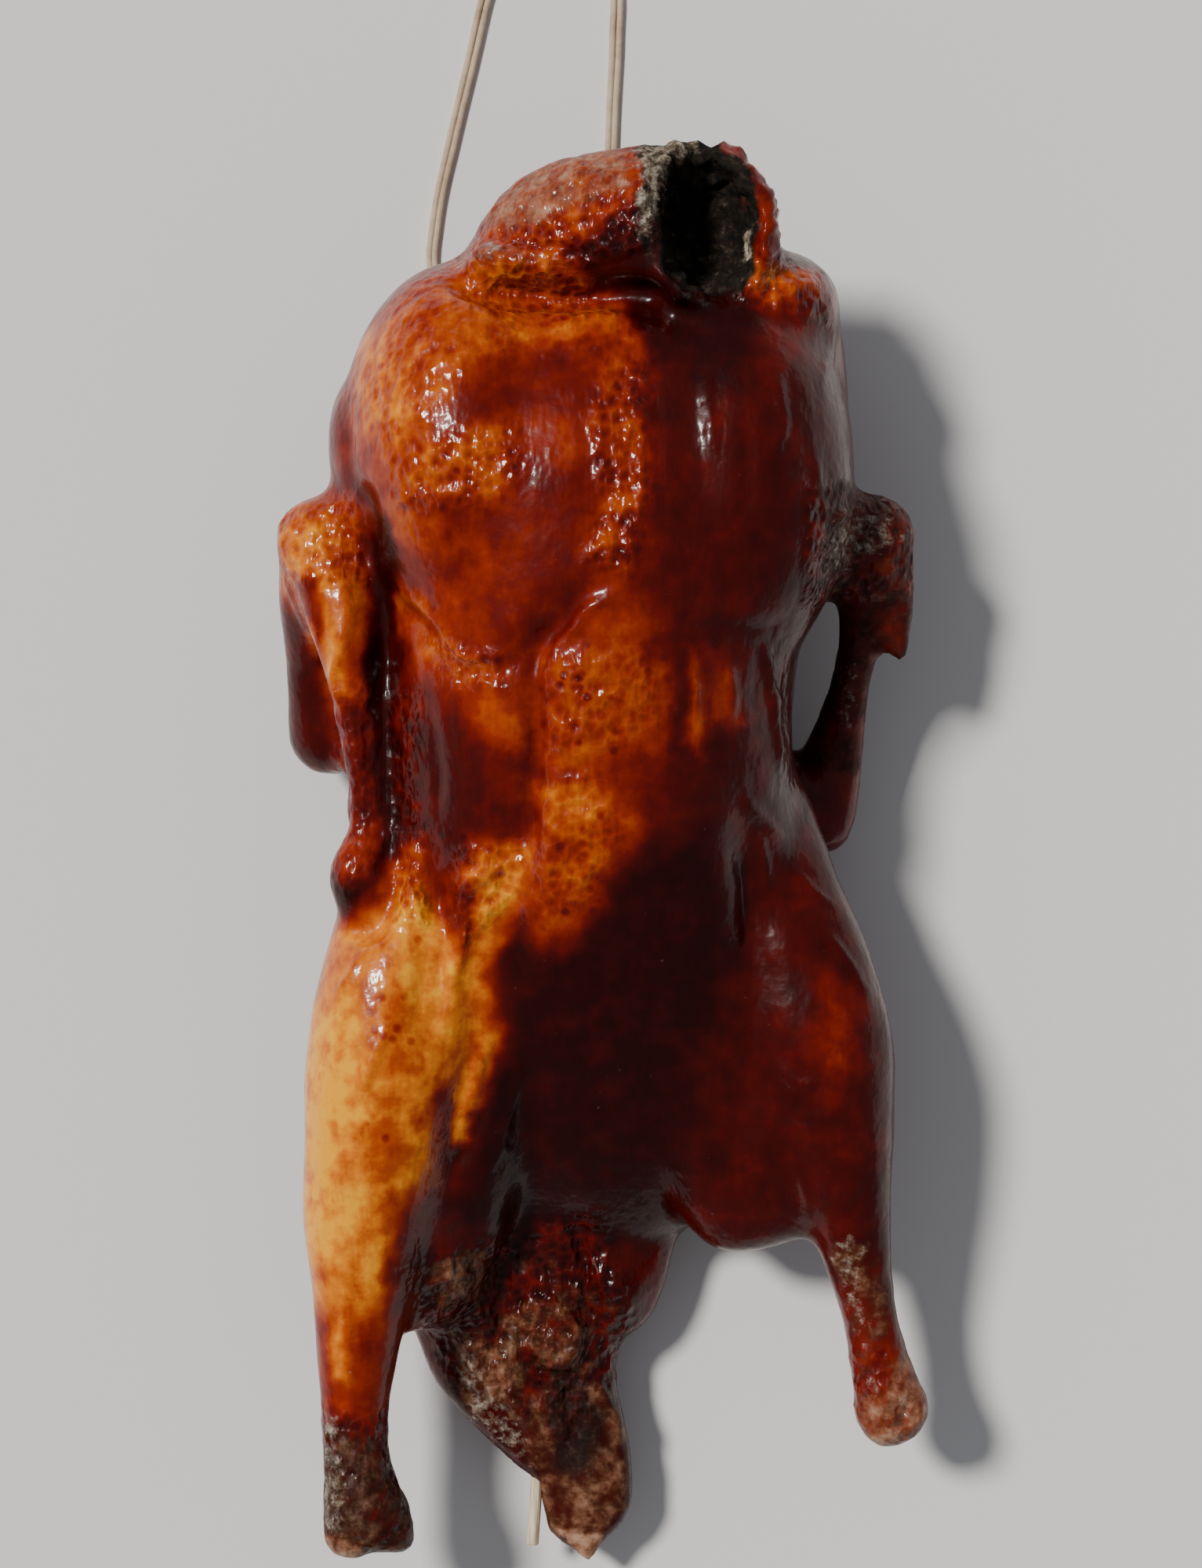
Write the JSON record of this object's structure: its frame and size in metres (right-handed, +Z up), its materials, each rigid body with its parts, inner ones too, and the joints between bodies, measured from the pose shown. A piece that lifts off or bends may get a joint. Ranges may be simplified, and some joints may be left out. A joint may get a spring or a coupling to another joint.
{
  "type": "roast duck",
  "caption": "Whole roast duck lying on its back, breast up, with glossy browned skin, folded wings, hanging legs, a neck folded over, a skewer stub and a doubled twine hanging loop.",
  "frame": {"origin": "on the surface that the duck rests on, under the middle of its box without the twine", "axes": "+X towards the duck's left side, +Y towards the neck, +Z up out of the breast"},
  "size_m": [0.1935, 0.5138, 0.112],
  "materials": {
    "roast_skin": "glossy browned roast skin, orange to mahogany, burnt at the neck end and the leg ends",
    "skewer_wood": "pale plain wood, matte",
    "string": "tan twisted cotton twine, matte"
  },
  "bodies": {
    "root": {"duck": "roast_skin", "skewer": "skewer_wood", "twine_left": "string", "twine_right": "string", "twine_knot": "string"}
  },
  "joints": []
}
